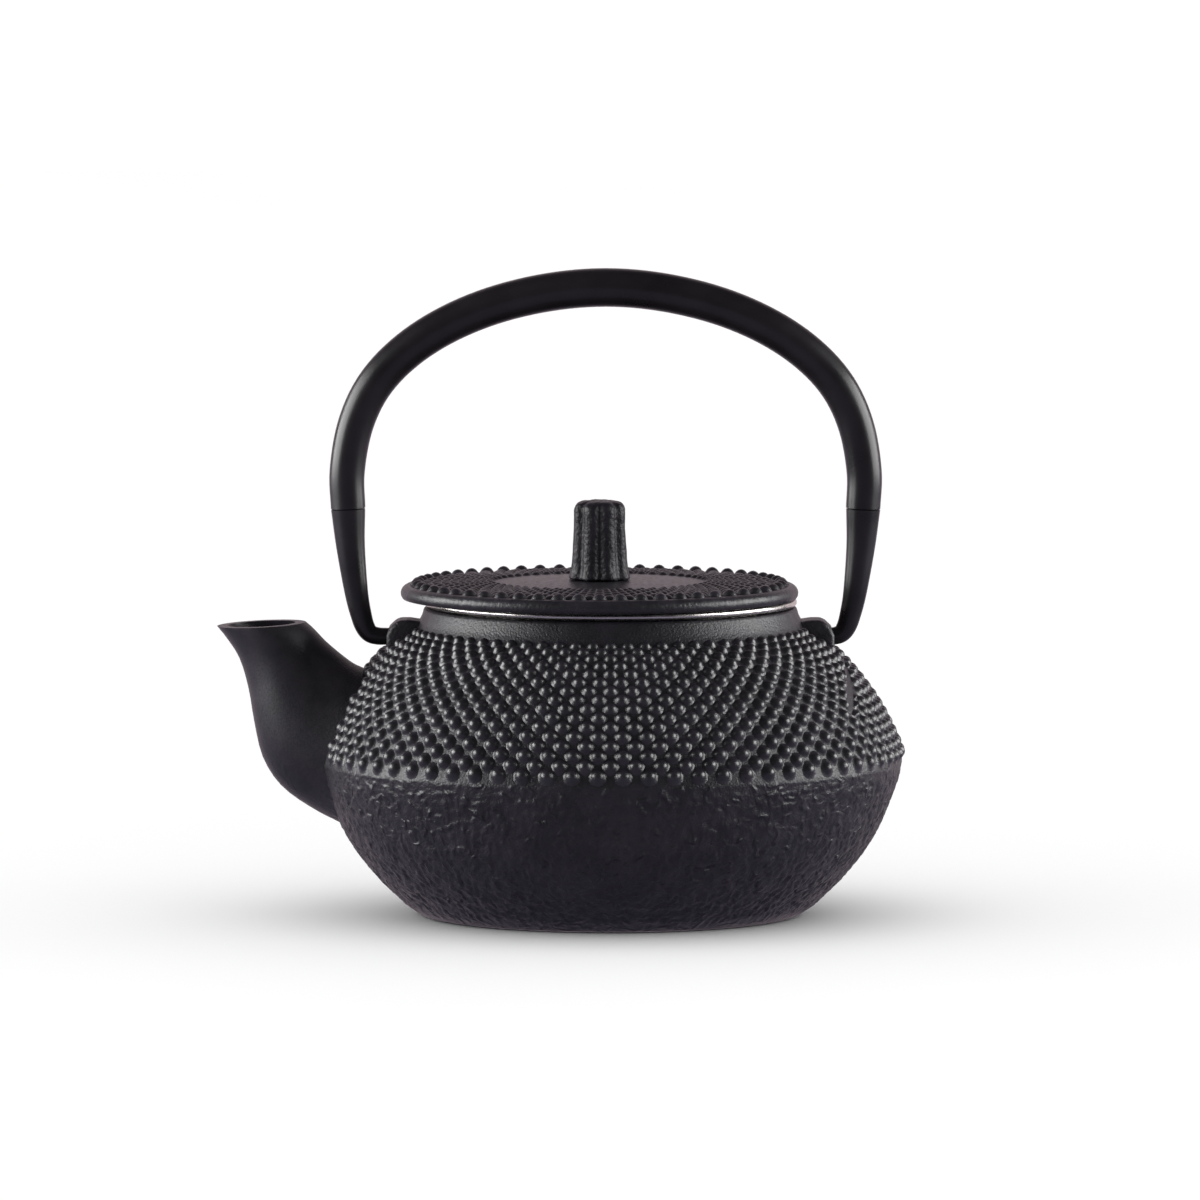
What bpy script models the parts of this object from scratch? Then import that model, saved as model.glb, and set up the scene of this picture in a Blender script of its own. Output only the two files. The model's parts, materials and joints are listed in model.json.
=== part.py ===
"""Small cast iron teapot with a studded shoulder: pot casting, lid and knob, tea infuser, bail handle.

Row frame: the origin is the centre of the flat foot, +Z is up, and -X points the way the spout pours.
Every outline below is in millimetres; MM turns it into metres.
"""

import math

import bmesh
import bpy
from mathutils import Matrix, Vector

MM = 0.001
GAP = 0.3  # left between neighbouring pieces
TURN_STEPS = 48  # flats round the pot, the lid and the infuser
SMALL_STEPS = 24  # flats round small turned pieces

# Pot casting
WALL = 3.0
FLOOR_TOP = 4.0
NECK_TOP_Z = 65.1
NECK_TOP_R = 39.6
NECK_FOOT = (41.2, 60.4)
NECK_BORE_R = 36.0
BELT_R = 61.8
BELT_Z = 32.4
FOOT_R = 39.5
FOOT_RING_R = 34.0
FOOT_RECESS = 1.0
NAVEL_R = 7.0
RING_EASE = 0.6  # half the width of the slope inside the foot ring
NAVEL_EASE = 0.8

# Handle hinge
HINGE_Z = 58.8
STUB_R = 1.8
STUB_CLEARANCE = 0.35
STUB_END_X = 43.6
STUB_PLAY = 1.0  # the loose handle sits this far towards the spout
EAR_FACE_X = 47.4
EAR_HALF_WIDTH = 4.8

# Bail handle
BOW_APEX_Z = 132.8
BOW_END = (54.5, 86.0)
BOW_APEX_R = 4.1
BOW_END_R = 3.65
BOW_WALL = 1.2
SPIGOT_LENGTH = 7.0

# Infuser
RIM_Z = NECK_TOP_Z + GAP
RIM_THICK = 1.5
RIM_R = 39.5
CUP_R = 34.6
CUP_THICK = 0.5
CUP_BOTTOM_Z = 29.0

# Lid
LID_R = 42.1
LID_EDGE_Z = 68.1
LID_EDGE_R = 1.7
LID_UNDER_Z = RIM_Z + RIM_THICK + GAP
LID_TOP_Z = 70.7
LID_THICK = 3.0
LID_PLAY = 2.3  # the loose lid sits this far towards the spout
LOCATING_R = 31.4
LOCATING_DEPTH = 4.0
KNOB_TOP_Z = 87.7
KNOB_LOBES = 8
KNOB_GROOVE = 0.09  # as a share of the radius
MOUTH_THINNING = 0.1  # the spout's wall loses this much from ring to ring
RIVET_R = 2.0
RIVET_HEAD_R = 4.2
SHANK_IN_KNOB = 9.0


def smooth_line(points, steps):
    """Points along a smooth curve through the given ones, with steps spans between each two."""
    ends = [2 * Vector(points[0]) - Vector(points[1])]
    last = [2 * Vector(points[-1]) - Vector(points[-2])]
    known = ends + [Vector(p) for p in points] + last
    line = []
    for i in range(1, len(known) - 2):
        a, b, c, d = known[i - 1 : i + 3]
        for step in range(steps):
            t = step / steps
            line.append(
                0.5
                * (
                    2 * b
                    + (c - a) * t
                    + (2 * a - 5 * b + 4 * c - d) * t**2
                    + (3 * b - a - 3 * c + d) * t**3
                )
            )
    line.append(known[-2])
    return line


def arc(centre, radius, start, end, steps):
    """Points along an arc in the outline plane; the angles are in degrees."""
    angles = [math.radians(start + (end - start) * i / steps) for i in range(steps + 1)]
    return [(centre[0] + radius * math.cos(a), centre[1] + radius * math.sin(a)) for a in angles]


def object_from(name, bm, origin=(0, 0, 0)):
    """A closed, outward-facing object from a bmesh in millimetres, with its own origin."""
    bmesh.ops.remove_doubles(bm, verts=bm.verts, dist=0.001)
    bmesh.ops.recalc_face_normals(bm, faces=bm.faces)
    mesh = bpy.data.meshes.new(name)
    bm.to_mesh(mesh)
    bm.free()
    mesh.transform(Matrix.Scale(MM, 4))
    place = Vector(origin) * MM
    mesh.transform(Matrix.Translation(-place))
    mesh.shade_smooth()
    mesh.set_sharp_from_angle(angle=math.radians(35))
    obj = bpy.data.objects.new(name, mesh)
    obj.location = place
    bpy.context.scene.collection.objects.link(obj)
    return obj


def skinned(rings, closed_ends=True):
    """A bmesh skin over rings of equal point counts. A ring of one point is a pole."""
    bm = bmesh.new()
    rows = [[bm.verts.new(p) for p in ring] for ring in rings]
    for low, high in zip(rows, rows[1:]):
        count = max(len(low), len(high))
        for i in range(count):
            j = (i + 1) % count
            corners = [low[i % len(low)], low[j % len(low)]]
            corners += [high[j % len(high)], high[i % len(high)]]
            bm.faces.new(list(dict.fromkeys(corners)))
    if closed_ends:
        for row in (rows[0], rows[-1]):
            if len(row) > 2:
                bm.faces.new(row)
    return bm


def turned(name, outline, steps=TURN_STEPS, origin=(0, 0, 0), ring=False):
    """A body turned about the Z axis from an outline of (radius, height) points.

    An outline that starts and ends on the axis makes a solid; ring=True closes it on itself.
    """
    angles = [2 * math.pi * i / steps for i in range(steps)]
    rings = [
        [(r * math.cos(a), r * math.sin(a), z) for a in angles] if r > 0 else [(0, 0, z)]
        for r, z in outline
    ]
    if ring:
        rings.append(rings[0])
    return object_from(name, skinned(rings, closed_ends=False), origin)


def swept(name, line, radii, steps, origin=(0, 0, 0), bore=None):
    """A round bar along a line in the XZ plane, or an open tube when bore gives its inner radii."""
    rings = []
    for index, centre in enumerate(line):
        before = line[max(index - 1, 0)]
        after = line[min(index + 1, len(line) - 1)]
        along = (after - before).normalized()
        across = Vector((along[1], -along[0]))
        rings.append((centre, across))

    def ring(index, radius):
        centre, across = rings[index]
        points = []
        for i in range(steps):
            a = 2 * math.pi * i / steps
            flat = centre + across * radius * math.cos(a)
            points.append((flat[0], radius * math.sin(a), flat[1]))
        return points

    outside = [ring(i, radii[i]) for i in range(len(line))]
    if bore is None:
        return object_from(name, skinned(outside), origin)
    inside = [ring(i, bore[i]) for i in reversed(range(len(line)))]
    return object_from(name, skinned(outside + inside + outside[:1], closed_ends=False), origin)


def cutter(obj):
    obj.hide_render = True
    obj.display_type = "WIRE"
    return obj


def combine(obj, other, operation):
    """Adds a Boolean with a helper object, which is left out of the model."""
    modifier = obj.modifiers.new(other.name, "BOOLEAN")
    modifier.operation = operation
    modifier.solver = "EXACT"
    modifier.object = cutter(other)


def finish(obj, name, colour, roughness, metallic):
    """Gives the object its own material."""
    material = bpy.data.materials.new(name)
    material.use_nodes = True
    shader = material.node_tree.nodes["Principled BSDF"]
    shader.inputs["Base Color"].default_value = (*colour, 1)
    shader.inputs["Roughness"].default_value = roughness
    shader.inputs["Metallic"].default_value = metallic
    obj.data.materials.append(material)
    return obj


def shoulder_side(steps):
    """The studded side, from the foot of the neck to the belt."""
    return smooth_line([NECK_FOOT, (47.6, 56.0), (55.7, 46.0), (60.6, 36.6), (BELT_R, BELT_Z)], steps)


def bowl_side(steps):
    """The side of the bowl, from the belt to just above the foot."""
    return smooth_line([(BELT_R, BELT_Z), (60.4, 27.4), (56.1, 17.2), (50.0, 8.8), (43.4, 2.3)], steps)


def neck_outline():
    return [(0, NECK_TOP_Z), (NECK_TOP_R, NECK_TOP_Z)]


def foot_outline():
    """The foot ring, the recess inside it and the navel that the casting was poured through."""
    ring = [(41.2, 0.6), (FOOT_R, 0), (FOOT_RING_R + RING_EASE, 0)]
    recess = [(FOOT_RING_R - RING_EASE, FOOT_RECESS), (NAVEL_R + NAVEL_EASE, FOOT_RECESS)]
    return ring + recess + [(NAVEL_R, 0), (0, 0)]


def hollow_outline():
    """The hollow keeps WALL inside the pot's side, with a flat floor and a straight neck."""
    side = shoulder_side(2)[:-1] + bowl_side(2)
    inner = []
    for before, here, after in zip(side, side[1:], side[2:]):
        along = (after - before).normalized()
        inner.append(here + WALL * Vector((along[1], -along[0])))
    inner = [p for p in inner if p[0] > NECK_BORE_R + 2 and p[1] > FLOOR_TOP + 1.5]
    neck = [(0, NECK_TOP_Z + 2), (NECK_BORE_R, NECK_TOP_Z + 2), (NECK_BORE_R, NECK_FOOT[1] - 1.2)]
    return neck + inner + [(FOOT_R - 2, FLOOR_TOP), (0, FLOOR_TOP)]


def make_spout():
    """The spout as a solid: ovals between its lower and upper edges, from the pot wall to the beak."""
    sections = spout_sections()
    return object_from("pot_spout", skinned([oval(*s) for s in sections]))


def spout_sections():
    """(lower edge, upper edge, half width) of each oval, from inside the pot to the mouth."""
    return [
        ((-48.0, 17.6), (-43.0, 48.6), 16.5),
        ((-56.8, 19.2), (-49.6, 51.1), 15.6),
        ((-63.9, 22.7), (-53.9, 52.8), 13.8),
        ((-69.9, 27.2), (-56.5, 54.6), 12.4),
        ((-73.7, 33.2), (-58.7, 56.4), 11.4),
        ((-75.5, 40.8), (-60.5, 58.0), 10.7),
        ((-76.7, 47.9), (-61.9, 59.5), 10.2),
        ((-78.6, 54.2), (-63.1, 60.7), 9.9),
        ((-81.3, 58.5), (-63.9, 61.4), 9.7),
        ((-83.3, 61.0), (-64.5, 61.9), 9.4),
    ]


def oval(low, high, half_width, inset=0.0, steps=24):
    """A ring across the spout between its lower and upper edge points; inset makes it smaller."""
    low, high = Vector(low), Vector(high)
    centre = (low + high) / 2
    half = (high - low) / 2
    half = half * (half.length - inset) / half.length
    points = []
    for i in range(steps):
        a = 2 * math.pi * i / steps
        flat = centre + half * math.cos(a)
        points.append((flat[0], (half_width - inset) * math.sin(a), flat[1]))
    return points


def make_channel():
    """The bore of the spout, open into the pot and out through the mouth."""
    sections = spout_sections()[1:]
    rings = [oval(*s, inset=WALL - MOUTH_THINNING * i) for i, s in enumerate(sections)]
    inside = [(x + 9, y, z - 4) for x, y, z in rings[0]]
    above = [(x - 0.6, y, z + 2) for x, y, z in rings[-1]]
    return object_from("spout_channel", skinned([inside, *rings, above]))


def make_ear(side):
    """The lug that holds one end of the handle; side is 1 at the back and -1 at the spout."""
    outline = [(37.5, 51.0), (37.5, 61.5), (41.3, 61.6), (44.3, 62.3)]
    outline += [(46.2, 61.4), (EAR_FACE_X, 59.8), (EAR_FACE_X + 0.2, 52.0)]
    rings = []
    for y, inset in ((-1.0, 0.9), (-0.72, 0.0), (0.72, 0.0), (1.0, 0.9)):
        middle = Vector((42.5, 56.5))
        ring = []
        for point in outline:
            pulled = Vector(point) + (middle - Vector(point)).normalized() * inset
            ring.append((side * pulled[0], y * EAR_HALF_WIDTH, pulled[1]))
        rings.append(ring)
    return object_from("ear_right" if side > 0 else "ear_left", skinned(rings))


def make_ear_hole(side):
    """The blind hole that the handle's stub turns in."""
    radius = STUB_R + STUB_CLEARANCE
    line = [Vector((side * x, HINGE_Z)) for x in (STUB_END_X - STUB_PLAY - 0.5, EAR_FACE_X + 4)]
    name = "ear_hole_right" if side > 0 else "ear_hole_left"
    return swept(name, line, [radius, radius], 16)


def make_pot():
    """The pot casting as three solids: the bowl below the belt, the shoulder above it, and the spout.

    One solid of this shape would be filled in by its own convex collision pieces.
    """
    hollow = turned("hollow", hollow_outline())
    channel = make_channel()
    for piece in (make_bowl(), make_shoulder(), make_spout_shell()):
        combine(piece, hollow, "DIFFERENCE")
        combine(piece, channel, "DIFFERENCE")
        if piece.name == "pot_shoulder":
            for side in (1, -1):
                combine(piece, make_ear_hole(side), "DIFFERENCE")
        finish(piece, piece.name + "_enamelled_iron", (0.018, 0.017, 0.02), 0.5, 0.0)


def make_bowl():
    belt = BELT_Z - GAP / 2
    return turned("pot_bowl", [(0, belt), (BELT_R, belt)] + bowl_side(3)[1:] + foot_outline())


def make_shoulder():
    belt = BELT_Z + GAP / 2
    outline = neck_outline() + shoulder_side(3)[:-1] + [(BELT_R, belt), (0, belt)]
    shoulder = turned("pot_shoulder", outline)
    for side in (1, -1):
        combine(shoulder, make_ear(side), "UNION")
    return shoulder


def make_spout_shell():
    """The spout outside the pot's wall, with GAP between the two."""
    spout = make_spout()
    side = neck_outline() + shoulder_side(3)[:-1] + bowl_side(3) + foot_outline()
    wall = [(r + GAP if r > 0 else 0, z) for r, z in side]
    combine(spout, turned("pot_wall", wall), "DIFFERENCE")
    return spout


def make_infuser():
    """Rolled rim, mesh wall, and a ring that holds the mesh bottom."""
    origin = (0, 0, RIM_Z)
    collar_r = CUP_R + GAP
    rim = [(RIM_R, RIM_Z), (RIM_R, RIM_Z + RIM_THICK - 0.3), (RIM_R - 0.3, RIM_Z + RIM_THICK)]
    rim += [(collar_r + 0.4, RIM_Z + RIM_THICK), (collar_r, RIM_Z + RIM_THICK - 0.4)]
    rim += [(collar_r, 60.0), (collar_r + CUP_THICK, 60.0), (collar_r + CUP_THICK, RIM_Z)]
    steel = (0.62, 0.60, 0.57)
    finish(turned("infuser_rim", rim, origin=origin, ring=True), "stainless_rim", steel, 0.25, 1.0)
    inner_r = CUP_R - CUP_THICK
    wall = [(CUP_R, RIM_Z), (inner_r, RIM_Z), (inner_r, CUP_BOTTOM_Z + 0.8), (CUP_R, CUP_BOTTOM_Z + 0.8)]
    finish(turned("infuser_wall", wall, origin=origin, ring=True), "stainless_mesh_wall", steel, 0.35, 1.0)
    ring_r = CUP_R + GAP
    ring = [(ring_r + 0.5, CUP_BOTTOM_Z + 3), (ring_r, CUP_BOTTOM_Z + 3), (ring_r, CUP_BOTTOM_Z + 0.5)]
    ring += [(31.5, CUP_BOTTOM_Z + 0.5), (31.5, CUP_BOTTOM_Z), (ring_r + 0.5, CUP_BOTTOM_Z)]
    finish(turned("infuser_base_ring", ring, origin=origin, ring=True), "stainless_ring", steel, 0.25, 1.0)
    mesh_r = inner_r - GAP
    low = CUP_BOTTOM_Z + 0.5 + GAP
    disc = [(0, low + CUP_THICK), (mesh_r, low + CUP_THICK), (mesh_r, low), (0, low)]
    finish(turned("infuser_base_mesh", disc, origin=origin), "stainless_mesh_base", steel, 0.35, 1.0)


def make_lid():
    """The lid casting, with a rounded lip and a ring below that centres it in the infuser."""
    origin = (0, 0, LID_UNDER_Z)
    hole_r = RIVET_R + GAP
    under = LID_TOP_Z - LID_THICK
    outline = [(hole_r, under), (hole_r, LID_TOP_Z)]
    dome = [(12.0, 0.15), (24.0, 0.5), (32.0, 0.95), (38.2, 1.35)]
    outline += [(r, LID_TOP_Z - drop) for r, drop in dome]
    outline += arc((LID_R - LID_EDGE_R, LID_EDGE_Z), LID_EDGE_R, 110, -40, 5)
    outline += [(39.9, LID_UNDER_Z), (LOCATING_R, LID_UNDER_Z)]
    outline += [(LOCATING_R, LID_UNDER_Z - LOCATING_DEPTH), (LOCATING_R - 2, LID_UNDER_Z - LOCATING_DEPTH)]
    outline += [(LOCATING_R - 2.4, under)]
    lid = turned("lid", outline, origin=origin, ring=True)
    return finish(lid, "cast_iron_lid", (0.02, 0.018, 0.02), 0.5, 0.0)


def make_knob():
    """A tapered pillar with eight lobes, a small foot and a rounded top, bored from below for its rivet."""
    foot = LID_TOP_Z + GAP
    outline = [(6.5, foot), (6.4, foot + 0.8), (6.0, foot + 2.0), (5.55, KNOB_TOP_Z - 4.0)]
    outline += [(5.5, KNOB_TOP_Z - 2.0), (4.8, KNOB_TOP_Z - 0.6), (3.0, KNOB_TOP_Z)]
    count = KNOB_LOBES * 4
    rings = []
    for radius, z in outline:
        ring = []
        for i in range(count):
            a = 2 * math.pi * i / count
            groove = 0.5 + 0.5 * math.cos(KNOB_LOBES * (a + math.pi / 2))
            r = radius * (1 - KNOB_GROOVE * groove)
            ring.append((r * math.cos(a), r * math.sin(a), z))
        rings.append(ring)
    knob = object_from("lid_knob", skinned(rings), (0, 0, foot))
    bore_r = RIVET_R + GAP
    bore_end = foot + SHANK_IN_KNOB + GAP
    below = foot - 2
    outline = [(0, bore_end), (bore_r, bore_end), (bore_r, below), (0, below)]
    bore = turned("knob_bore", outline, SMALL_STEPS)
    bore.parent = knob
    bore.location = -knob.location
    combine(knob, bore, "DIFFERENCE")
    return finish(knob, "cast_iron_knob", (0.02, 0.018, 0.02), 0.5, 0.0)


def make_rivet():
    """The rivet that holds the knob: a shank through the lid and a peened head under it."""
    head_top = LID_TOP_Z - LID_THICK - GAP
    shank_top = LID_TOP_Z + GAP + SHANK_IN_KNOB
    outline = [(0, shank_top), (RIVET_R, shank_top), (RIVET_R, head_top), (RIVET_HEAD_R, head_top)]
    outline += [(RIVET_HEAD_R - 0.4, head_top - 0.7), (2.4, head_top - 1.2), (0, head_top - 1.3)]
    rivet = turned("knob_rivet", outline, SMALL_STEPS, (0, 0, head_top))
    return finish(rivet, "iron_rivet", (0.05, 0.048, 0.047), 0.45, 0.8)


def bow_line():
    """Centreline of the bow, from its +X end over the apex to its -X end."""
    half = [BOW_END, (54.7, 93.8), (53.0, 103.4), (49.2, 111.7), (43.0, 118.6)]
    half += [(34.5, 124.4), (24.0, 128.9), (12.0, 131.8)]
    mirrored = [(-x, z) for x, z in reversed(half)]
    return smooth_line(half + [(0, BOW_APEX_Z)] + mirrored, 3)


def make_bow():
    line = bow_line()
    middle = (len(line) - 1) / 2
    radii = [BOW_APEX_R + (BOW_END_R - BOW_APEX_R) * abs(i / middle - 1) ** 1.5 for i in range(len(line))]
    bore = [r - BOW_WALL for r in radii]
    return swept("handle_bow", line, radii, 14, bore=bore)


def make_hook(side):
    """The tapered end of the handle: a spigot in the bow's bore, a leg, and a stub turned into the ear."""
    inward = [Vector((side * STUB_END_X, HINGE_Z)), Vector((side * 48.2, HINGE_Z))]
    bend = [(49.9, 59.4), (51.0, 60.9), (51.8, 63.4), (52.8, 68.2), (54.0, 77.9), BOW_END]
    leg = smooth_line([(48.2, HINGE_Z)] + bend, 2)[1:]
    leg = [Vector((side * p[0], p[1])) for p in leg]
    shoulder = leg.pop() - Vector((0, GAP))
    leg_radii = [1.8, 1.85, 1.9, 1.95, 2.0, 2.1, 2.2, 2.35, 2.5, 2.8, 3.05]
    spigot_r = BOW_END_R - BOW_WALL - GAP
    top = shoulder + Vector((side * 0.15, SPIGOT_LENGTH))
    line = inward + leg + [shoulder, shoulder + Vector((0, 0.01)), top]
    radii = [STUB_R, STUB_R] + leg_radii + [BOW_END_R, spigot_r, spigot_r]
    name = "handle_hook_right" if side > 0 else "handle_hook_left"
    return swept(name, line, radii, 14)


def guide(name, place):
    """An empty, in millimetres, that pieces which move together hang from."""
    empty = bpy.data.objects.new(name, None)
    empty.location = Vector(place) * MM
    bpy.context.scene.collection.objects.link(empty)
    return empty


def make_lid_group():
    """Lid, knob and rivet lift together, along the lid's own axis."""
    lift = guide("lid_lift", (-LID_PLAY, 0, 0))
    for piece in (make_lid(), make_knob(), make_rivet()):
        piece.parent = lift


def make_handle():
    """Bow and hooks turn together about the line through the ears' holes."""
    hinge = guide("handle_hinge", (-STUB_PLAY, 0, HINGE_Z))
    for piece in (make_bow(), make_hook(1), make_hook(-1)):
        piece.data.transform(Matrix.Translation((0, 0, -HINGE_Z * MM)))
        piece.parent = hinge
        finish(piece, piece.name + "_black_iron", (0.015, 0.014, 0.015), 0.38, 0.0)


def main():
    for obj in list(bpy.data.objects):
        bpy.data.objects.remove(obj)
    make_pot()
    make_infuser()
    make_lid_group()
    make_handle()


main()
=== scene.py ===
# %% [markdown]
# # A small cast iron teapot with a studded shoulder
#
# The real thing is a casting about 12 cm across: a smooth neck, a shoulder covered with rows of
# little studs, a bowl with a leathery skin, a short beaked spout and two lugs for a bail handle.
# A flat lid with a fluted knob lies loose on the rolled rim of a steel tea infuser.
# This lesson loads the fixed frame of plain solids, then builds each visible piece around it.

import json
import math

import bmesh
import bpy
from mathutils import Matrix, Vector

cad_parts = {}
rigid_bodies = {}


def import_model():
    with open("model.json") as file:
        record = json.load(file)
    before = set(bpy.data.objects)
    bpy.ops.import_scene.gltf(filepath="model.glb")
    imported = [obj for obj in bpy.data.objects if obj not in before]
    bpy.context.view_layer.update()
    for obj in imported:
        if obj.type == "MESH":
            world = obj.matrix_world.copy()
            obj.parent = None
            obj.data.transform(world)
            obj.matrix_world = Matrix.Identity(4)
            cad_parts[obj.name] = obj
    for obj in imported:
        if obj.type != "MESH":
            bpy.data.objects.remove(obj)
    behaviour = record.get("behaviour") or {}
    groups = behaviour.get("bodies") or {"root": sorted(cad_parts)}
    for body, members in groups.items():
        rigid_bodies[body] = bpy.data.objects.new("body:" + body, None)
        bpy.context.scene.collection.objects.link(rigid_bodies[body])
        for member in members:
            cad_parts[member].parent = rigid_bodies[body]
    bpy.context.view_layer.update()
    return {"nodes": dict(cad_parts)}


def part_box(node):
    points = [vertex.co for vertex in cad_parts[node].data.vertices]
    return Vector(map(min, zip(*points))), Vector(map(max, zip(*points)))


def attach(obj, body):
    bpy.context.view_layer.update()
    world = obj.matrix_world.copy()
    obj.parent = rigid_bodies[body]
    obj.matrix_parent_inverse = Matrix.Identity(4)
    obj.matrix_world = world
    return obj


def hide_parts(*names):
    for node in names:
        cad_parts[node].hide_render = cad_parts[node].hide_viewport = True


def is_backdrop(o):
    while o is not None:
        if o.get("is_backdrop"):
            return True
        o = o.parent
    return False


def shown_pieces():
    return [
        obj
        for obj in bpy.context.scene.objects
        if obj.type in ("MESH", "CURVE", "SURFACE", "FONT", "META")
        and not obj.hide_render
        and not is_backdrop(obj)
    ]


MM = 0.001
FULL_TURN = 2 * math.pi

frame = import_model()

# %% [markdown]
# ## Working by hand, in code
#
# Every operator acts on whatever is selected, so each step starts from nothing selected.
# Picking vertices by their place takes the part that the mouse has in the editor.


# %% Selecting
def deselect():
    if bpy.context.mode != "OBJECT":
        bpy.ops.object.mode_set(mode="OBJECT")
    bpy.ops.object.select_all(action="DESELECT")


def take_up(piece):
    """Makes one object the selected and active one."""
    deselect()
    bpy.context.view_layer.objects.active = piece
    piece.select_set(True)


def open_mesh(piece):
    take_up(piece)
    bpy.ops.object.mode_set(mode="EDIT")
    bpy.ops.mesh.select_all(action="SELECT")


def close_mesh():
    bpy.ops.object.mode_set(mode="OBJECT")


def pick(piece, test, kind="VERT"):
    """In edit mode, selects only the vertices, edges or faces that pass the test."""
    bpy.ops.mesh.select_mode(type=kind)
    bpy.ops.mesh.select_all(action="DESELECT")
    bm = bmesh.from_edit_mesh(piece.data)
    parts = {"VERT": bm.verts, "EDGE": bm.edges, "FACE": bm.faces}[kind]
    count = 0
    for part in parts:
        if test(part):
            part.select_set(True)
            count += 1
    bm.select_flush_mode()
    bmesh.update_edit_mesh(piece.data)
    return count


def use(piece, kind, **settings):
    """Adds a modifier and applies it at once."""
    take_up(piece)
    bpy.ops.object.modifier_add(type=kind)
    modifier = piece.modifiers[-1]
    for key, value in settings.items():
        setattr(modifier, key, value)
    bpy.ops.object.modifier_apply(modifier=modifier.name)


def drop(piece):
    bpy.data.objects.remove(piece)


def report(piece):
    """Prints the face count and any edge that isn't shared by exactly two faces."""
    bm = bmesh.new()
    bm.from_mesh(piece.data)
    loose = sum(1 for edge in bm.edges if not edge.is_manifold)
    print(f"{piece.name}: {len(bm.faces)} faces, {loose} open edges")
    bm.free()


# %% [markdown]
# ## Two ways to grow a surface
#
# A turned piece starts as one point. It is drawn out along half of its outline and spun round the
# upright axis, as on a potter's wheel. A spout or a handle instead grows from rings that are laid
# along its path and bridged, one after the other.


# %% Turning and bridging
def smooth_line(points, steps):
    """Points along a smooth curve through the given ones, with steps spans between each two."""
    points = [Vector(p) for p in points]
    known = [2 * points[0] - points[1], *points, 2 * points[-1] - points[-2]]
    line = []
    for a, b, c, d in zip(known, known[1:], known[2:], known[3:]):
        for step in range(steps):
            t = step / steps
            bend = (2 * a - 5 * b + 4 * c - d) * t**2 + (3 * b - a - 3 * c + d) * t**3
            line.append(0.5 * (2 * b + (c - a) * t + bend))
    return [*line, known[-2]]


def arc(centre, radius, start, end, steps):
    """Points along an arc of an outline; the angles are in degrees."""
    turns = [math.radians(start + (end - start) * i / steps) for i in range(steps + 1)]
    return [(centre[0] + radius * math.cos(t), centre[1] + radius * math.sin(t)) for t in turns]


def start_point(name, place):
    """A mesh of one vertex: a small circle that is merged to its centre and moved into place."""
    deselect()
    bpy.ops.mesh.primitive_circle_add(vertices=3, radius=MM)
    piece = bpy.context.object
    piece.name = piece.data.name = name
    open_mesh(piece)
    bpy.ops.mesh.merge(type="CENTER")
    bpy.ops.transform.translate(value=place)
    return piece


def turned(name, outline, steps):
    """A turned piece from its outline of (radius, height) points in millimetres."""
    outline = [Vector((r * MM, 0, z * MM)) for r, z in outline]
    piece = start_point(name, outline[0])
    for before, here in zip(outline, outline[1:]):
        bpy.ops.mesh.extrude_region_move(TRANSFORM_OT_translate={"value": here - before})
    bpy.ops.mesh.select_all(action="SELECT")
    bpy.ops.mesh.spin(steps=steps, angle=FULL_TURN, center=(0, 0, 0), axis=(0, 0, 1))
    tidy_mesh()
    close_mesh()
    return piece


def tidy_mesh():
    """In edit mode: welds the seam and the poles, and points every face outwards."""
    bpy.ops.mesh.select_mode(type="VERT")
    bpy.ops.mesh.select_all(action="SELECT")
    bpy.ops.mesh.remove_doubles(threshold=2e-6)
    bpy.ops.mesh.normals_make_consistent(inside=False)


def lay_ring(centre, along, wide, points):
    """A ring in edit mode from centre - along to centre + along in the XZ plane, wide across Y."""
    half = along.length
    tilt = math.atan2(along.z, along.x)
    bpy.ops.mesh.primitive_circle_add(
        vertices=points, radius=half, location=centre, rotation=(0, -tilt, 0)
    )
    bpy.ops.transform.resize(value=(1, wide / half, 1), center_override=centre)


def bridged(name, rings, points, closed_ends=True):
    """Rings of (centre, along, wide), in metres, bridged in turn and capped at both ends."""
    piece = start_point(name, (0, 0, 0))
    bpy.ops.mesh.delete(type="VERT")
    for index, (centre, along, wide) in enumerate(rings):
        lay_ring(centre, along, wide, points)
        if index:
            first = (index - 1) * points
            pick(piece, lambda v: v.index >= first)
            pick_edges_between_picked(piece)
            bpy.ops.mesh.bridge_edge_loops()
    last = (len(rings) - 1) * points
    if closed_ends:
        for low in (0, last):
            pick(piece, lambda v: low <= v.index < low + points)
            bpy.ops.mesh.edge_face_add()
    tidy_mesh()
    close_mesh()
    return piece


def pick_edges_between_picked(piece):
    bm = bmesh.from_edit_mesh(piece.data)
    for edge in bm.edges:
        edge.select = all(v.select for v in edge.verts)
    bmesh.update_edit_mesh(piece.data)


# %% [markdown]
# ## The pot's outline
#
# The neck leans in a little, the shoulder swells to the belt, and the bowl below draws in to a
# flat foot ring. The belt is the widest line and the lower edge of the studs. The outline is drawn
# once and used again for the hollow, the wrinkles and the rows of studs.

# %% The pot's sizes
NECK_TOP = 65.1
NECK_R = 39.6
NECK_BORE_R = 36.0
BELT_Z = 32.4
WALL = 3.0
FLOOR_TOP = 4.0
POT_STEPS = 360

shoulder_line = smooth_line(
    [(41.2, 60.4), (47.6, 56.0), (55.7, 46.0), (60.6, 36.6), (61.8, BELT_Z)], 5
)
bowl_line = smooth_line([(61.8, BELT_Z), (60.4, 27.4), (56.1, 17.2), (50.0, 8.8), (43.4, 2.3)], 8)
lip_line = [*arc((NECK_R - 0.8, NECK_TOP - 0.8), 0.8, 10, 90, 4)]
foot_line = [(41.6, 0.9), (40.7, 0.25), (39.5, 0), (34.6, 0), (33.9, 0.3), (33.4, 1.0)]
navel_line = [(7.8, 1.0), (7.3, 0.2), (6.8, 0), (0, 0)]


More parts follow.
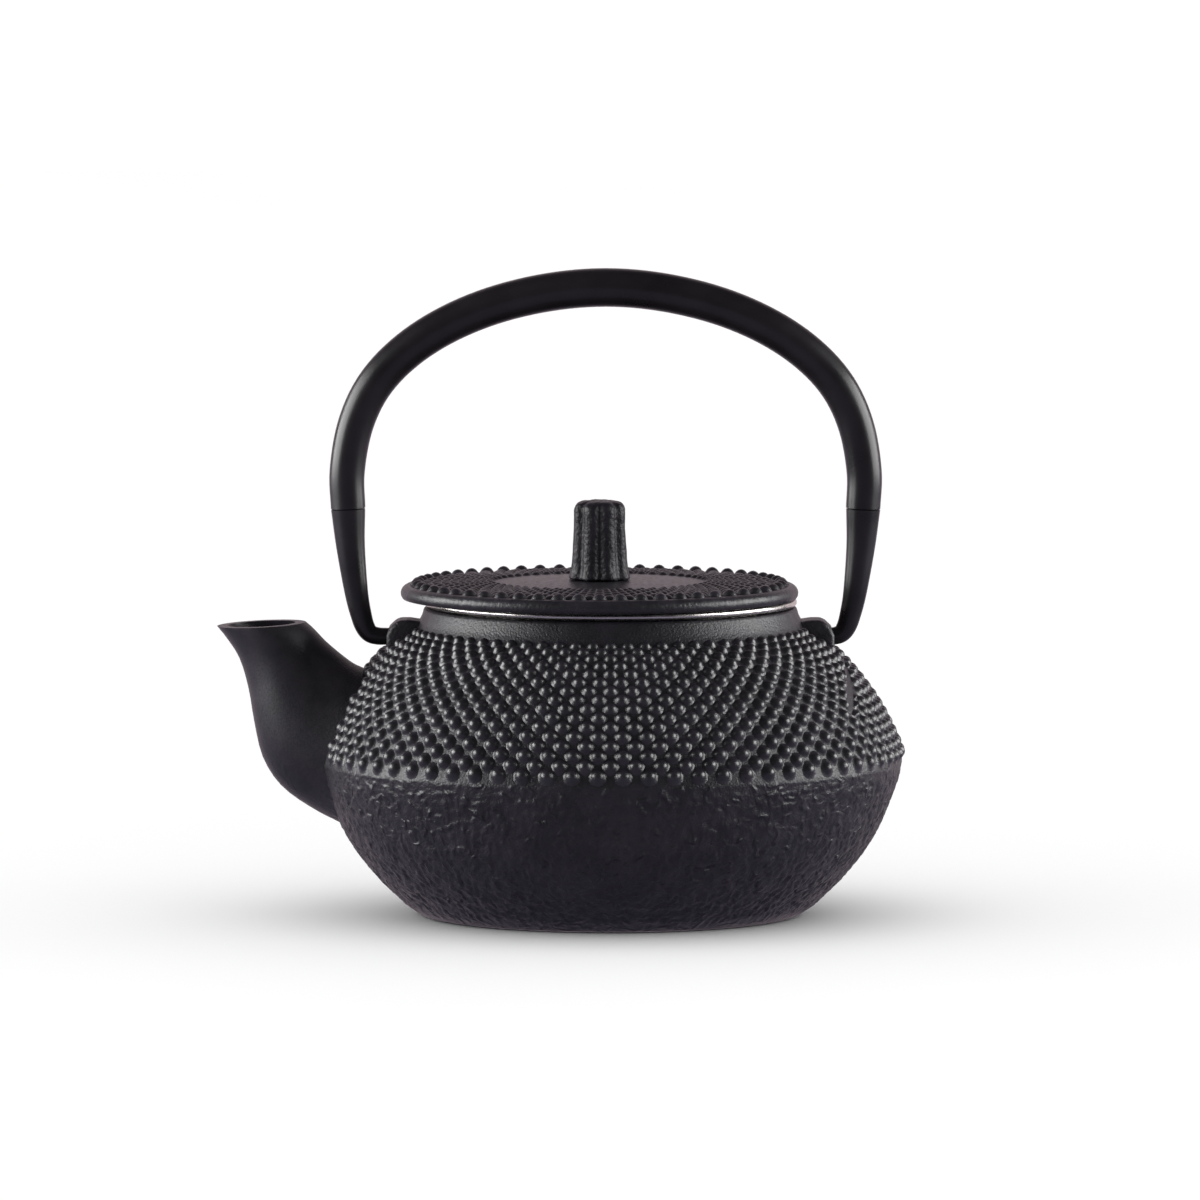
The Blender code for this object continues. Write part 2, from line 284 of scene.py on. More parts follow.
# %% [markdown]
# ## The solid pot, its hollow and the spout
#
# A foundry makes a pot with an outer mould and a core. Here the solid pot is turned first, and the
# core is turned from the same outline set in by the wall's thickness. The spout is a row of tilted
# rings, narrower towards the mouth, and a thinner one of the same kind bores it out later.

# %% The solid pot, the hollow and the spout
def turned_pot():
    outline = [(0, NECK_TOP), (24, NECK_TOP), *reversed(lip_line)]
    neck = [(NECK_R + 0.25, NECK_TOP - 1.6), (40.4, 62.4)]
    outline += [*neck, *shoulder_line, *bowl_line[1:], *foot_line, *navel_line]
    return turned("pot_casting", outline, POT_STEPS)


def turned_hollow():
    side = [*shoulder_line[::2], *bowl_line[2::2]]
    inner = []
    for before, here, after in zip(side, side[1:], side[2:]):
        along = (after - before).normalized()
        inner.append(here + WALL * Vector((along.y, -along.x)))
    inner = [p for p in inner if p.x > NECK_BORE_R + 2 and p.y > FLOOR_TOP + 1.5]
    neck = [(0, NECK_TOP + 2), (NECK_BORE_R, NECK_TOP + 2), (NECK_BORE_R, 59.2)]
    return turned("hollow", [*neck, *inner, (37.5, FLOOR_TOP), (0, FLOOR_TOP)], 96)


SPOUT = [
    # lower edge, upper edge, half the width
    ((-48.0, 17.6), (-43.0, 48.6), 16.5),
    ((-56.8, 19.2), (-49.6, 51.1), 15.6),
    ((-63.9, 22.7), (-53.9, 52.8), 13.8),
    ((-69.9, 27.2), (-56.5, 54.6), 12.4),
    ((-73.7, 33.2), (-58.7, 56.4), 11.4),
    ((-75.5, 40.8), (-60.5, 58.0), 10.7),
    ((-76.7, 47.9), (-61.9, 59.5), 10.2),
    ((-78.6, 54.2), (-63.1, 60.7), 9.9),
    ((-81.3, 58.5), (-63.9, 61.4), 9.7),
    ((-83.3, 61.0), (-64.5, 61.9), 9.4),
]
SPOUT_STEPS = 3
SPOUT_POINTS = 40


def spout_rings(steps, inset_start=0.0, inset_end=0.0, first=0):
    """Rings along the spout, smoothed between its sections and drawn in by the wall."""
    sections = [Vector((*low, *high)) for low, high, _ in SPOUT[first:]]
    widths = [Vector((wide, 0)) for _, _, wide in SPOUT[first:]]
    lows = smooth_line([Vector(s[:2]) for s in sections], steps)
    highs = smooth_line([Vector(s[2:]) for s in sections], steps)
    wides = smooth_line(widths, steps)
    rings = []
    for index, (low, high, wide) in enumerate(zip(lows, highs, wides)):
        inset = inset_start + (inset_end - inset_start) * index / (len(lows) - 1)
        middle = (low + high) / 2
        half = (high - low) / 2
        half = half * (half.length - inset) / half.length
        centre = Vector((middle.x, 0, middle.y)) * MM
        rings.append((centre, Vector((half.x, 0, half.y)) * MM, (wide.x - inset) * MM))
    return rings


casting = turned_pot()
report(casting)
spout = bridged("spout", spout_rings(SPOUT_STEPS), SPOUT_POINTS)
report(spout)

# %% [markdown]
# ## Lugs for the handle
#
# Each lug is a block that stands out of the shoulder beside the neck, with a blind hole for the
# handle's end. A cube gets its outer top edge drawn down, and its edges are rounded by a bevel.

# %% The two lugs
HINGE_Z = 58.8
LUG_SIZE = (9.9, 9.6, 11.4)
LUG_MIDDLE_X = 42.45
LUG_MIDDLE_Z = 56.5
LUG_CROWN_X = 41.0  # from here outwards the top is raised
LUG_CROWN = 0.35
LUG_SLOPE = (0.7, 1.3)  # how far the outer top edge is drawn in and down
LUG_ROUNDING = 0.9


def lug(side):
    deselect()
    middle = (side * LUG_MIDDLE_X * MM, 0, LUG_MIDDLE_Z * MM)
    bpy.ops.mesh.primitive_cube_add(size=1, location=middle)
    piece = bpy.context.object
    piece.name = "lug"
    open_mesh(piece)
    bpy.ops.mesh.subdivide(number_cuts=3)
    size = [s * MM for s in LUG_SIZE]
    bpy.ops.transform.resize(value=size, center_override=piece.location)
    close_mesh()
    bpy.ops.object.transform_apply(location=True, rotation=True, scale=True)
    open_mesh(piece)
    top = (LUG_MIDDLE_Z + LUG_SIZE[2] / 2 - 0.01) * MM
    outer = (LUG_MIDDLE_X + LUG_SIZE[0] / 2 - 0.01) * MM
    pick(piece, lambda v: v.co.z > top and LUG_CROWN_X * MM < abs(v.co.x) < outer - 1 * MM)
    bpy.ops.transform.translate(value=(0, 0, LUG_CROWN * MM))
    pick(piece, lambda v: v.co.z > top and abs(v.co.x) > outer)
    bpy.ops.transform.translate(value=(-side * LUG_SLOPE[0] * MM, 0, -LUG_SLOPE[1] * MM))
    close_mesh()
    use(
        piece,
        "BEVEL",
        width=LUG_ROUNDING * MM,
        segments=3,
        limit_method="ANGLE",
        angle_limit=math.radians(35),
    )
    return piece


def peg(x_from, x_to, radius, name):
    """A plain rod along X, used to bore the lugs."""
    deselect()
    bpy.ops.mesh.primitive_cylinder_add(
        vertices=32,
        radius=radius * MM,
        depth=abs(x_to - x_from) * MM,
        location=((x_from + x_to) / 2 * MM, 0, HINGE_Z * MM),
        rotation=(0, math.pi / 2, 0),
    )
    rod = bpy.context.object
    rod.name = name
    bpy.ops.object.transform_apply(location=True, rotation=True, scale=True)
    return rod


# %% [markdown]
# ## One casting
#
# Booleans weld the spout and the lugs to the pot, then take out the hollow, the spout's channel and
# the two blind holes. Iron doesn't fill a sharp corner, so the mouth's edges are eased by a bevel.

# %% One casting
BORE_END_X = 42.1
BORE_OUTSIDE_X = 52.0
BORE_R = 2.15
CHANNEL_WALL = (3.0, 2.2)  # at the root and at the mouth
CHANNEL_LEAD_IN = Vector((9, 0, -4)) * MM
CHANNEL_LEAD_OUT = Vector((-0.6, 0, 2)) * MM
MOUTH_EASE = 0.75
MOUTH_LOW_Z = 60.3 * MM
MOUTH_BACK_X = -63 * MM
SHARP = math.radians(50)


def mouth_edge(edge):
    """The sharp edges round the spout's mouth."""
    if not edge.is_manifold or edge.calc_face_angle() < SHARP:
        return False
    return all(v.co.z > MOUTH_LOW_Z and v.co.x < MOUTH_BACK_X for v in edge.verts)


def carve(piece, tool, operation):
    use(piece, "BOOLEAN", object=tool, operation=operation, solver="EXACT")


carve(casting, spout, "UNION")
for side in (1, -1):
    block = lug(side)
    carve(casting, block, "UNION")
    drop(block)
hollow = turned_hollow()
carve(casting, hollow, "DIFFERENCE")
drop(hollow)
channel_rings = spout_rings(SPOUT_STEPS, *CHANNEL_WALL, first=1)
centre, along, wide = channel_rings[0]
channel_rings.insert(0, (centre + CHANNEL_LEAD_IN, along, wide))
centre, along, wide = channel_rings[-1]
channel_rings.append((centre + CHANNEL_LEAD_OUT, along, wide))
channel = bridged("channel", channel_rings, SPOUT_POINTS)
carve(casting, channel, "DIFFERENCE")
drop(channel)
for side in (1, -1):
    rod = peg(side * BORE_END_X, side * BORE_OUTSIDE_X, BORE_R, "rod")
    carve(casting, rod, "DIFFERENCE")
    drop(rod)
open_mesh(casting)
print("mouth edges:", pick(casting, mouth_edge, "EDGE"))
bpy.ops.mesh.bevel(offset=MOUTH_EASE * MM, segments=3, affect="EDGES", clamp_overlap=True)
close_mesh()
report(casting)

# %% [markdown]
# ## The leathery bowl
#
# Below the belt the iron keeps the wrinkles of its clay mould, like leather. The bowl's faces are
# cut finer, and a Displace modifier raises creases of noise about 2 mm apart. A vertex group holds
# it to the bowl and lets it die away towards the belt. Real geometry keeps the outline uneven too.

# %% Wrinkles
WRINKLE_SPACING = 1.9
WRINKLE_HEIGHT = 0.85
WRINKLE_FADE = 3.0
ON_SKIN = 0.2  # how far from the outline still counts as the bowl's skin


def radius_at(line, height):
    """The radius of an outline at a height."""
    for a, b in zip(line, line[1:]):
        if min(a.y, b.y) <= height <= max(a.y, b.y):
            return a.x + (b.x - a.x) * (height - a.y) / (b.y - a.y)
    return 0.0


def on_bowl(place):
    x, y, z = place / MM
    return z < BELT_Z + 0.01 and abs(math.hypot(x, y) - radius_at(bowl_line, z)) < ON_SKIN


def wrinkle(piece):
    open_mesh(piece)
    pick(piece, lambda f: all(on_bowl(v.co) for v in f.verts), "FACE")
    bpy.ops.mesh.subdivide(number_cuts=1)
    close_mesh()
    group = piece.vertex_groups.new(name="leathery")
    for vertex in piece.data.vertices:
        if on_bowl(vertex.co):
            fade = min(1.0, (BELT_Z - vertex.co.z / MM) / WRINKLE_FADE)
            group.add([vertex.index], max(0.0, fade), "REPLACE")
    creases = bpy.data.textures.new("clay_mould_creases", "CLOUDS")
    creases.noise_type = "HARD_NOISE"
    creases.noise_basis = "IMPROVED_PERLIN"
    creases.noise_depth = 1
    creases.noise_scale = WRINKLE_SPACING * MM
    use(
        piece,
        "DISPLACE",
        texture=creases,
        texture_coords="LOCAL",
        vertex_group=group.name,
        strength=-WRINKLE_HEIGHT * MM,
        mid_level=0.3,
    )


wrinkle(casting)
report(casting)

# %% [markdown]
# ## Rows of studs
#
# The studs stand in staggered rows, seventy-two to a row, so that they also line up on slants. In
# a clay mould each is one press of a small punch.
# One stud is modelled, and for each row it is copied, scaled to the row, tipped to stand square on
# the surface and spun round the pot. Studs that would stand on the spout or a lug are taken off.

# %% One stud
STUDS_PER_ROW = 72
STUD_SEGMENTS = 12
STUD_OUTLINE = [(1.16, -0.06), (0.85, 0.06), (0.7, 0.26), (0.5, 0.47), (0.28, 0.59)]
STUD_TIP = 0.64


def one_stud():
    """A blunt cone of unit radius, standing on the XY plane with its foot below it."""
    rings = STUD_OUTLINE
    deselect()
    bpy.ops.mesh.primitive_circle_add(
        vertices=STUD_SEGMENTS, radius=rings[0][0], location=(0, 0, rings[0][1]), fill_type="NGON"
    )
    stud = bpy.context.object
    stud.name = "stud"
    bpy.ops.object.transform_apply(location=True)
    open_mesh(stud)
    for (r_below, z_below), (r, z) in zip(rings, rings[1:]):
        bpy.ops.mesh.extrude_region_move(TRANSFORM_OT_translate={"value": (0, 0, z - z_below)})
        bpy.ops.transform.resize(value=(r / r_below, r / r_below, 1), center_override=(0, 0, z))
    last_step = (0, 0, STUD_TIP - rings[-1][1])
    bpy.ops.mesh.extrude_region_move(TRANSFORM_OT_translate={"value": last_step})
    bpy.ops.mesh.merge(type="CENTER")
    tidy_mesh()
    close_mesh()
    return stud


def stud_row(model, radius, height, tip_angle, size, count, turn, squeeze=1.0):
    """A ring of studs: the model scaled, tipped out by tip_angle, moved to its radius and spun."""
    take_up(model)
    bpy.ops.object.duplicate()
    row = bpy.context.object
    row.scale = (size * MM, size * MM, size * squeeze * MM)
    row.rotation_euler = (0, tip_angle, 0)
    row.location = (radius * MM, 0, height * MM)
    bpy.ops.object.transform_apply(location=True, rotation=True, scale=True)
    row.rotation_euler = (0, 0, turn)
    bpy.ops.object.transform_apply(rotation=True)
    open_mesh(row)
    sweep = FULL_TURN * (count - 1) / count
    bpy.ops.mesh.spin(
        steps=count - 1, dupli=True, angle=sweep, center=(0, 0, 0), axis=(0, 0, 1)
    )
    close_mesh()
    return row


def joined(name, pieces):
    deselect()
    for piece in pieces:
        piece.select_set(True)
    bpy.context.view_layer.objects.active = pieces[0]
    bpy.ops.object.join()
    whole = bpy.context.object
    whole.name = whole.data.name = name
    return whole


stud = one_stud()
report(stud)

# %% The shoulder's rows
ROW_COUNT = 16
FIRST_ROW_AT = 0.4  # along the side from the foot of the neck, in mm
ROW_STEP = 2.19
STUD_CROWDING = 1.05  # above 1, the feet of neighbours run into each other


def along_line(line, distance):
    """(place, outward normal) at a distance along an outline."""
    for a, b in zip(line, line[1:]):
        span = (b - a).length
        if distance <= span:
            step = (b - a) / span
            return a + step * distance, Vector((-step.y, step.x))
        distance -= span
    return b, Vector((-step.y, step.x))


rows = []
for row in range(ROW_COUNT):
    place, normal = along_line(shoulder_line, FIRST_ROW_AT + ROW_STEP * row)
    pitch = FULL_TURN * place.x / STUDS_PER_ROW
    size = 0.5 * math.hypot(ROW_STEP, pitch / 2) * STUD_CROWDING
    turn = (0.5 if row % 2 else 0.0) * FULL_TURN / STUDS_PER_ROW
    normal = Vector((abs(normal.x), abs(normal.y)))
    tip_angle = math.atan2(normal.x, normal.y)
    rows.append(stud_row(stud, place.x, place.y, tip_angle, size, STUDS_PER_ROW, turn))
pot_studs = joined("pot_studs", rows)

# %% Studs that the spout and the lugs leave no room for
SPOUT_MARGIN = 0.1 * MM
SPOUT_START_X = -38 * MM
SPOUT_HALF_WIDTH = 17 * MM
TIP_ABOVE_SKIN = 1.1 * MM
LUG_HALF_WIDTH = (LUG_SIZE[1] / 2 + 1.2) * MM
LUG_END_X = 48.0 * MM
LUG_FOOT_Z = 50.8 * MM


def on_spout(place):
    if place.x > SPOUT_START_X or abs(place.y) > SPOUT_HALF_WIDTH:
        return False
    _, near, normal, _ = spout.closest_point_on_mesh(place)
    return (place - near).dot(normal) < SPOUT_MARGIN


def on_lug(place):
    return abs(place.y) < LUG_HALF_WIDTH and abs(place.x) < LUG_END_X and place.z > LUG_FOOT_Z


def in_the_way(vertex):
    """Tests the tip of each stud, and the skin below it."""
    if len(vertex.link_edges) != STUD_SEGMENTS:
        return False
    return on_spout(vertex.co - vertex.normal * TIP_ABOVE_SKIN) or on_lug(vertex.co)


open_mesh(pot_studs)
pick(pot_studs, in_the_way)
bpy.ops.mesh.select_linked()
bpy.ops.mesh.delete(type="VERT")
close_mesh()
drop(spout)
report(pot_studs)

# %% [markdown]
# ## The lid
#
# The lid is a flat casting with a rounded lip, ten staggered rows of studs and a bare grained
# middle round the knob. A ring under it centres it in the infuser. It lies a little to one side,
# as a loose lid does, so its middle is taken from the frame.

# %% The lid casting
lid_low, lid_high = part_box("lid")
LID_X = (lid_low.x + lid_high.x) / 2
LID_TOP = 70.85
LID_UNDER = 67.2
LID_R = 42.1
LIP_R = 1.7
LIP_Z = 68.1
dome = [(2.3, LID_TOP), (12.0, 70.7), (24.0, 70.25), (32.0, 69.8), (38.7, 69.3)]
dome_line = smooth_line(dome, 4)
lip = arc((LID_R - LIP_R, LIP_Z), LIP_R, 115, -40, 12)
ring = [(31.4, LID_UNDER), (31.4, 63.1), (31.0, 62.7), (29.8, 62.7), (29.4, 63.1), (29.0, 67.7)]
lid_outline = [(2.3, 67.7), *dome_line, *lip, (40.3, 66.8), (39.9, LID_UNDER), *ring, (2.3, 67.7)]


def shift_x(piece, amount):
    open_mesh(piece)
    bpy.ops.transform.translate(value=(amount, 0, 0))
    close_mesh()


lid_casting = turned("lid_casting", lid_outline, 144)
shift_x(lid_casting, LID_X)
report(lid_casting)

# %% The lid's studs
LID_STUDS = 56
LID_ROWS = 10
OUTER_ROW_R = 38.6
OUTER_STRETCH = 1.3  # the outer row stands taller than the others
INNER_STRETCH = 0.85
LID_CROWDING = 0.98
LID_TIP_ANGLE = 0.07


def dome_height(radius):
    for a, b in zip(dome_line, dome_line[1:]):
        if a.x <= radius <= b.x:
            return a.y + (b.y - a.y) * (radius - a.x) / (b.x - a.x)


rows = []
shrink = math.exp(-math.pi / LID_STUDS)
for row in range(LID_ROWS):
    radius = OUTER_ROW_R * shrink**row
    size = FULL_TURN * radius / LID_STUDS / 2 * LID_CROWDING
    turn = (0.5 if row % 2 else 0.0) * FULL_TURN / LID_STUDS
    stretch = INNER_STRETCH if row else OUTER_STRETCH
    height = dome_height(radius)
    rows.append(stud_row(stud, radius, height, LID_TIP_ANGLE, size, LID_STUDS, turn, stretch))
lid_studs = joined("lid_studs", rows)
shift_x(lid_studs, LID_X)
drop(stud)
report(lid_studs)

# %% [markdown]
# ## The knob
#
# The knob is a pillar with eight lobes, cast on its own. A ring of points has every eighth one
# drawn in for a groove, and the points beside it a little less. The ring is then extruded up
# through the foot, the waist and the rounded top, and sand from the mould roughens it.

# %% The fluted knob
KNOB_FOOT = 70.8
LOBES = 8
POINTS_PER_LOBE = 8
GROOVE_DEPTH = 0.15
GROOVE_SHARES = (1.0, 0.62, 0.18)  # of the depth, at the groove and one and two points beside it
SAND_GRAIN = 1.3
SAND_DEPTH = 0.3
knob_line = [(6.9, KNOB_FOOT), (6.85, 71.4), (6.5, 72.3), (6.2, 73.5), (6.0, 76.5), (5.75, 80.5)]
knob_line += [(5.65, 83.7), (5.7, 85.2), (5.6, 86.2), (5.15, 87.0), (4.3, 87.45), (2.6, 87.7)]
knob_line += [(1.0, 87.75)]


def fluted(name, line):
    count = LOBES * POINTS_PER_LOBE
    deselect()
    bpy.ops.mesh.primitive_circle_add(
        vertices=count, radius=line[0][0] * MM, location=(0, 0, line[0][1] * MM), fill_type="NGON"
    )
    piece = bpy.context.object
    piece.name = piece.data.name = name
    bpy.ops.object.transform_apply(location=True)
    open_mesh(piece)
    centre = (0, 0, line[0][1] * MM)
    for step, share in enumerate(GROOVE_SHARES):
        beside = {step, (POINTS_PER_LOBE - step) % POINTS_PER_LOBE}
        pick(piece, lambda v: v.index % POINTS_PER_LOBE in beside)
        factor = 1 - GROOVE_DEPTH * share
        bpy.ops.transform.resize(value=(factor, factor, 1), center_override=centre)
    bpy.ops.mesh.select_mode(type="FACE")
    bpy.ops.mesh.select_all(action="SELECT")
    for (r_below, z_below), (r, z) in zip(line, line[1:]):
        rise = (0, 0, (z - z_below) * MM)
        bpy.ops.mesh.extrude_region_move(TRANSFORM_OT_translate={"value": rise})
        grow = (r / r_below, r / r_below, 1)
        bpy.ops.transform.resize(value=grow, center_override=(0, 0, z * MM))
    bpy.ops.mesh.extrude_region_move(TRANSFORM_OT_translate={"value": (0, 0, 0)})
    bpy.ops.mesh.merge(type="CENTER")
    tidy_mesh()
    close_mesh()
    return piece


knob = fluted("lid_knob_fluted", knob_line)
use(knob, "SUBSURF", levels=1, render_levels=1)
sand = bpy.data.textures.new("sand_mould", "CLOUDS")
sand.noise_scale = SAND_GRAIN * MM
use(knob, "DISPLACE", texture=sand, texture_coords="LOCAL", strength=SAND_DEPTH * MM, mid_level=0.5)
shift_x(knob, LID_X)
report(knob)

# %% [markdown]
# ## The bail handle
#
# The bow is a tube, and tapered hooks are let into its two ends. A faint line shows where they
# meet. The bow and each hook grow from rings along their own paths.

# %% The handle's path
bow_low, bow_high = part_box("handle_bow")
HANDLE_X = (bow_low.x + bow_high.x) / 2 / MM
ROD_POINTS = 28
BOW_MIDDLE_R = 4.1
BOW_THINNING = 0.45  # from the middle to the ends
half_bow = [(54.5, 86.0), (54.7, 93.8), (53.0, 103.4), (49.2, 111.7), (43.0, 118.6)]
half_bow += [(34.5, 124.4), (24.0, 128.9), (12.0, 131.8)]
bow_path = smooth_line([*half_bow, (0, 132.8), *[(-x, z) for x, z in reversed(half_bow)]], 6)


def rod_rings(path, radii):
    """Round rings square to a path of (x, z) points, in millimetres."""
    rings = []
    for index, (place, radius) in enumerate(zip(path, radii)):
        ahead = path[min(index + 1, len(path) - 1)] - path[max(index - 1, 0)]
        ahead.normalize()
        along = Vector((ahead.y, 0, -ahead.x)) * radius * MM
        rings.append((Vector((place.x + HANDLE_X, 0, place.y)) * MM, along, radius * MM))
    return rings


middle = (len(bow_path) - 1) / 2
offsets = [abs(i / middle - 1) for i in range(len(bow_path))]
bow_radii = [BOW_MIDDLE_R - BOW_THINNING * offset**1.5 for offset in offsets]
bow = bridged("handle_tube", rod_rings(bow_path, bow_radii), ROD_POINTS)
report(bow)


# %% The hooks
HOOK = [
    # distance from the middle, height, radius
    (43.6, HINGE_Z, 1.8),
    (46.0, HINGE_Z, 1.8),
    (48.2, 58.85, 1.85),
    (49.9, 59.4, 1.95),
    (51.0, 60.9, 2.1),
    (51.8, 63.4, 2.25),
    (52.8, 68.2, 2.5),
    (54.0, 77.9, 3.05),
    (54.5, 85.75, 3.62),
]
HOOK_END = [(85.95, 3.3), (86.3, 2.2)]  # height and radius of the end let into the bow


def hook_path(side):
    path = smooth_line([(side * x, z) for x, z, _ in HOOK], 5)
    radii = [size.x for size in smooth_line([(radius, 0) for _, _, radius in HOOK], 5)]
    path += [Vector((side * HOOK[-1][0], z)) for z, _ in HOOK_END]
    return path, [*radii, *[radius for _, radius in HOOK_END]]


def hook(side):
    name = "handle_hook_turned_right" if side > 0 else "handle_hook_turned_left"
    return bridged(name, rod_rings(*hook_path(side)), ROD_POINTS)


hooks = {side: hook(side) for side in (1, -1)}
for piece in hooks.values():
    report(piece)

# %% [markdown]
# ## Studs under the lowered handle
#
# The handle sits a little towards the spout here, and the lowered right hook lies closer to the
# shoulder than a stud is high. So this is a fitting of the model, not a feature of the real pot:
# the vertices in the hook's way go in by small steps, as a file would take them, until it is clear.

# %% Studs lowered under the lowered handle
SWING = math.radians(112)
RUB_GAP = 0.12
RUB_STEP = 0.12 * MM
MOST_RUBS = 12
right_hook = list(zip(*hook_path(1)))


def rubbed(vertex):
    """Whether the right hook passes within the gap of this vertex on its way down."""
    x, y, z = vertex.co / MM
    reach = math.hypot(y, z - HINGE_Z)
    angle = math.atan2(abs(y), z - HINGE_Z)
    for place, radius in right_hook:
        near = radius + RUB_GAP
        if math.hypot(x - place.x - HANDLE_X, reach - place.y + HINGE_Z) < near:
            return x > 0 and angle < SWING + near / reach
    return False


open_mesh(pot_studs)
for step in range(MOST_RUBS):
    count = pick(pot_studs, rubbed)
    if not count:
        break
    bpy.ops.transform.translate(value=(-RUB_STEP, 0, -RUB_STEP))
    print("rubbed vertices:", count)
close_mesh()

# %% [markdown]
# ## The infuser's rim
#
# The infuser hangs by a rolled steel rim, pressed from thin sheet. It shows as one bright line
# between the lid and the neck. The mesh cup below it stays the plain solids of the frame.

# %% The rolled rim
BEAD_R = 0.75
BEAD_Z = 66.15
rim_outline = [(34.9, 60.0), (34.9, BEAD_Z), *arc((35.5, BEAD_Z), BEAD_R, 180, 90, 4)]
rim_outline += [*arc((39.5 - BEAD_R, BEAD_Z), BEAD_R, 90, -90, 10), (35.4, BEAD_Z - BEAD_R)]
rim_outline += [(35.4, 60.0), (34.9, 60.0)]
rim = turned("infuser_rolled_rim", rim_outline, 144)
report(rim)

# %% [markdown]
# ## Finishes
#
# Each finish is a small tree of nodes. Colours are written as sRGB hex values and turned to linear
# light by one function, and one function adds a node with its settings and links.


# %% Node helpers
def linear(code):
    """An sRGB hex colour as linear light."""
    values = [int(code[i : i + 2], 16) / 255 for i in (1, 3, 5)]
    return (*[v / 12.92 if v <= 0.04045 else ((v + 0.055) / 1.055) ** 2.4 for v in values], 1)


def per_mm(size):
    """The texture scale that gives features of about this many millimetres."""
    return 1 / (size * MM)


def add(tree, kind, sockets=None, **settings):
    """Adds a node. A socket takes a value, or another node's output to link."""
    made = tree.nodes.new("ShaderNode" + kind)
    for key, value in settings.items():
        setattr(made, key, value)
    for key, value in (sockets or {}).items():
        if isinstance(value, bpy.types.NodeSocket):
            tree.links.new(value, made.inputs[key])
        else:
            made.inputs[key].default_value = value
    return made


def new_finish(name, **constants):
    """A material, its shader and its object coordinates, with constants set on the shader."""
    material = bpy.data.materials.new(name)
    material.use_nodes = True
    tree = material.node_tree
    shader = tree.nodes["Principled BSDF"]
    for key, value in constants.items():
        shader.inputs[key.replace("_", " ")].default_value = value
    place = add(tree, "TexCoord").outputs["Object"]
    return material, tree, shader, place


def ramp(tree, factor, low, high, first, last):
    """A colour that runs from first to last while the factor runs from low to high."""
    made = add(tree, "ValToRGB", {"Fac": factor})
    made.color_ramp.elements[0].position = low
    made.color_ramp.elements[0].color = linear(first)
    made.color_ramp.elements[1].position = high
    made.color_ramp.elements[1].color = linear(last)
    return made.outputs["Color"]


def spread(tree, value, low, high, to_low, to_high):
    """Maps the range from low to high onto the range from to_low to to_high."""
    made = add(
        tree,
        "MapRange",
        {"Value": value, "From Min": low, "From Max": high, "To Min": to_low, "To Max": to_high},
    )
    return made.outputs["Result"]


def connect(tree, shader, **links):
    """Links outputs to the shader's sockets by name."""
    for key, value in links.items():
        tree.links.new(value, shader.inputs[key.replace("_", " ")])


# %% [markdown]
# ## Black enamel
#
# Black enamelled cast iron: sprayed thinly on sand-cast skin, so it is satin with a fine grain.
# The bowl's leathery wrinkles are a coarser relief that starts at the belt. The spout is smoother
# than the body, so the grain and the wrinkles fade out on it.


# %% Black enamel on cast iron
SPOUT_FADE_X = (-60 * MM, -56 * MM)
WRINKLE_RELIEF = 0.8 * MM


def black_enamel(name, wrinkled, grain_mm=0.45, grain_depth=0.2, gloss=0.35, smoothest=0.3):
    material, tree, shader, place = new_finish(
        name, Metallic=0.0, IOR=1.5, Specular_IOR_Level=gloss
    )
    blotch = add(tree, "TexNoise", {"Vector": place, "Scale": per_mm(6.0), "Detail": 3.0})
    colour = ramp(tree, blotch.outputs["Fac"], 0.35, 0.7, "#121015", "#1b181e")
    grain = add(tree, "TexNoise", {"Vector": place, "Scale": per_mm(grain_mm), "Detail": 2.0})
    rough = spread(tree, grain.outputs["Fac"], 0.3, 0.7, smoothest, smoothest + 0.12)
    grit = grain.outputs["Fac"]
    if wrinkled:
        split = add(tree, "SeparateXYZ", {"Vector": place})
        above, under = (BELT_Z + 0.6) * MM, (BELT_Z - 0.4) * MM
        below = spread(tree, split.outputs["Z"], above, under, 0.0, 1.0)
        off_spout = spread(tree, split.outputs["X"], *SPOUT_FADE_X, 0.15, 1.0)
        grit = add(tree, "Math", {0: grit, 1: off_spout}, operation="MULTIPLY").outputs["Value"]
    relief = add(tree, "Bump", {"Height": grit, "Strength": 0.7, "Distance": grain_depth * MM})
    if wrinkled:
        wave = add(
            tree,
            "TexNoise",
            {"Vector": place, "Scale": per_mm(2.6), "Detail": 1.0, "Distortion": 0.6},
            noise_type="RIDGED_MULTIFRACTAL",
        )
        depth = add(tree, "Math", {0: wave.outputs["Fac"], 1: below}, operation="MULTIPLY")
        depth = add(tree, "Math", {0: depth.outputs["Value"], 1: off_spout}, operation="MULTIPLY")
        relief = add(
            tree,
            "Bump",
            {
                "Height": depth.outputs["Value"],
                "Strength": 1.0,
                "Distance": WRINKLE_RELIEF,
                "Normal": relief.outputs["Normal"],
            },
        )
    connect(tree, shader, Base_Color=colour, Roughness=rough, Normal=relief.outputs["Normal"])
    return material


skin = black_enamel("black_enamelled_cast_iron", wrinkled=True, smoothest=0.37)
stud_skin = black_enamel("black_enamelled_studs", wrinkled=False, grain_depth=0.1, gloss=0.55)
knob_skin = black_enamel(
    "black_enamelled_knob",
    wrinkled=False,
    grain_mm=0.7,
    grain_depth=0.3,
    gloss=0.22,
    smoothest=0.34,
)
lid_skin = black_enamel(
    "black_enamelled_lid", wrinkled=False, grain_mm=0.8, grain_depth=0.18, smoothest=0.34
)


# %% [markdown]
# ## Lining, steel and handle paint
#
# The lining is poured in and drained, so it is thick and glossy. The rim is rolled steel with the
# streaks of its rollers, the cup is woven wire with painted shade in its holes, and the handle's
# paint is baked on smooth iron.


# %% Glossy lining, steel, handle paint
def noise(tree, place, size_mm, detail):
    made = add(tree, "TexNoise", {"Vector": place, "Scale": per_mm(size_mm), "Detail": detail})
    return made.outputs["Fac"]


